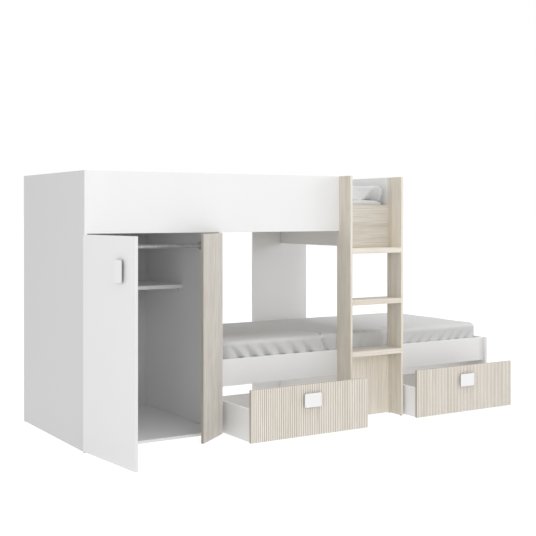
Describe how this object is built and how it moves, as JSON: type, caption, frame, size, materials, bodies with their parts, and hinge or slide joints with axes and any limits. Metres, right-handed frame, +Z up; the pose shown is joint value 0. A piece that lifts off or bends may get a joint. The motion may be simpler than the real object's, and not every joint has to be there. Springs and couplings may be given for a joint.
{
  "type": "staggered bunk bed",
  "caption": "Staggered bunk bed with white boards, pale oak ladder, a wardrobe with hinged doors under the upper bunk and rolling drawers with fluted fronts under the lower bunk.",
  "frame": {"origin": "floor level under the front lower corner of the left end panel's outer face; the mount floor_rest is the glide beside that corner, 8 mm and 14 mm in from it", "axes": "+X along the front from the wardrobe end to the foot of the lower bunk, +Y from the front to the wall side, +Z up"},
  "size_m": [2.9209, 1.5327, 1.5],
  "materials": {
    "white_board": "white melamine on particle board, silk, with matching edge band",
    "hardboard": "thin white-lacquered hardboard",
    "oak_board": "pale natural oak decor, fine straight grain, lighter edge band",
    "fluted_oak": "bleached oak foil over half-round ribs",
    "drawer_board": "white melamine drawer box board",
    "white_handle": "white moulded plastic, fine silk",
    "steel": "bright zinc-plated steel",
    "grey_plastic": "dark grey moulded plastic",
    "pine": "planed untreated softwood",
    "bedding": "light grey woven cotton, matt"
  },
  "bodies": {
    "carcass": {"left_end_panel": "white_board", "wardrobe_side_panel": "white_board", "wardrobe_bottom_board": "white_board", "wardrobe_top_board": "white_board", "wardrobe_shelf": "white_board", "upper_front_rail": "white_board", "upper_rear_rail": "white_board", "upper_right_end_panel": "white_board", "rear_support_panel": "white_board", "upper_cross_beam": "white_board", "lower_front_rail": "white_board", "lower_rear_rail": "white_board", "lower_right_end_panel": "white_board", "centre_divider": "white_board", "wardrobe_back_panel": "hardboard", "ladder_left_upright": "oak_board", "ladder_right_upright": "oak_board", "ladder_lower_rung": "oak_board", "ladder_middle_rung": "oak_board", "ladder_upper_rung": "oak_board", "ladder_lower_panel": "oak_board", "ladder_upper_panel": "oak_board", "hanging_rail": "steel", "rail_sockets": "steel", "shelf_pins": "steel", "left_hinge_arms": "steel", "right_hinge_arms": "steel", "floor_glides": "grey_plastic", "upper_bearers": "pine", "upper_slats": "pine", "lower_bearers": "pine", "lower_slats": "pine", "upper_mattress": "bedding", "lower_mattress": "bedding", "upper_pillow": "bedding"},
    "left_door": {"left_door_panel": "white_board", "left_door_hinge_cups": "steel", "left_door_handle": "white_handle"},
    "right_door": {"right_door_panel": "fluted_oak", "right_door_hinge_cups": "steel"},
    "left_drawer": {"left_drawer_front": "fluted_oak", "left_drawer_handle": "white_handle", "left_drawer_left_side": "drawer_board", "left_drawer_right_side": "drawer_board", "left_drawer_back": "drawer_board", "left_drawer_base": "drawer_board", "left_drawer_castor_brackets": "steel"},
    "left_drawer_front_wheels": {"left_drawer_front_wheels": "grey_plastic"},
    "left_drawer_rear_wheels": {"left_drawer_rear_wheels": "grey_plastic"},
    "right_drawer": {"right_drawer_front": "fluted_oak", "right_drawer_handle": "white_handle", "right_drawer_left_side": "drawer_board", "right_drawer_right_side": "drawer_board", "right_drawer_back": "drawer_board", "right_drawer_base": "drawer_board", "right_drawer_castor_brackets": "steel"},
    "right_drawer_front_wheels": {"right_drawer_front_wheels": "grey_plastic"},
    "right_drawer_rear_wheels": {"right_drawer_rear_wheels": "grey_plastic"}
  },
  "joints": [
    {"name": "left_door_hinge", "type": "hinge", "parent": "carcass", "child": "left_door", "pos_m": [0.0045, -0.0053, 0.584], "axis": [0, 0, 1], "range_deg": [-20.2, 84.8]},
    {"name": "right_door_hinge", "type": "hinge", "parent": "carcass", "child": "right_door", "pos_m": [0.8245, -0.0053, 0.584], "axis": [0, 0, 1], "range_deg": [-38, 52]},
    {"name": "left_drawer_slide", "type": "slide", "parent": "carcass", "child": "left_drawer", "axis": [0, -1, 0], "range_m": [-0.305, 0.125]},
    {"name": "left_drawer_front_wheel_spin", "type": "hinge", "parent": "left_drawer", "child": "left_drawer_front_wheels", "pos_m": [1.251, -0.244, 0.018], "axis": [1, 0, 0], "range_deg": [-977, 404]},
    {"name": "left_drawer_rear_wheel_spin", "type": "hinge", "parent": "left_drawer", "child": "left_drawer_rear_wheels", "pos_m": [1.251, 0.111, 0.018], "axis": [1, 0, 0], "range_deg": [-977, 404]},
    {"name": "right_drawer_slide", "type": "slide", "parent": "carcass", "child": "right_drawer", "axis": [0, -1, 0], "range_m": [-0.245, 0.185]},
    {"name": "right_drawer_front_wheel_spin", "type": "hinge", "parent": "right_drawer", "child": "right_drawer_front_wheels", "pos_m": [2.4865, -0.184, 0.018], "axis": [1, 0, 0], "range_deg": [-786, 595]},
    {"name": "right_drawer_rear_wheel_spin", "type": "hinge", "parent": "right_drawer", "child": "right_drawer_rear_wheels", "pos_m": [2.4865, 0.171, 0.018], "axis": [1, 0, 0], "range_deg": [-786, 595]}
  ],
  "couplings": [
    {"joint": "left_drawer_front_wheel_spin", "follows": "left_drawer_slide", "rad_per_m": 55.556},
    {"joint": "left_drawer_rear_wheel_spin", "follows": "left_drawer_slide", "rad_per_m": 55.556},
    {"joint": "right_drawer_front_wheel_spin", "follows": "right_drawer_slide", "rad_per_m": 55.556},
    {"joint": "right_drawer_rear_wheel_spin", "follows": "right_drawer_slide", "rad_per_m": 55.556}
  ]
}
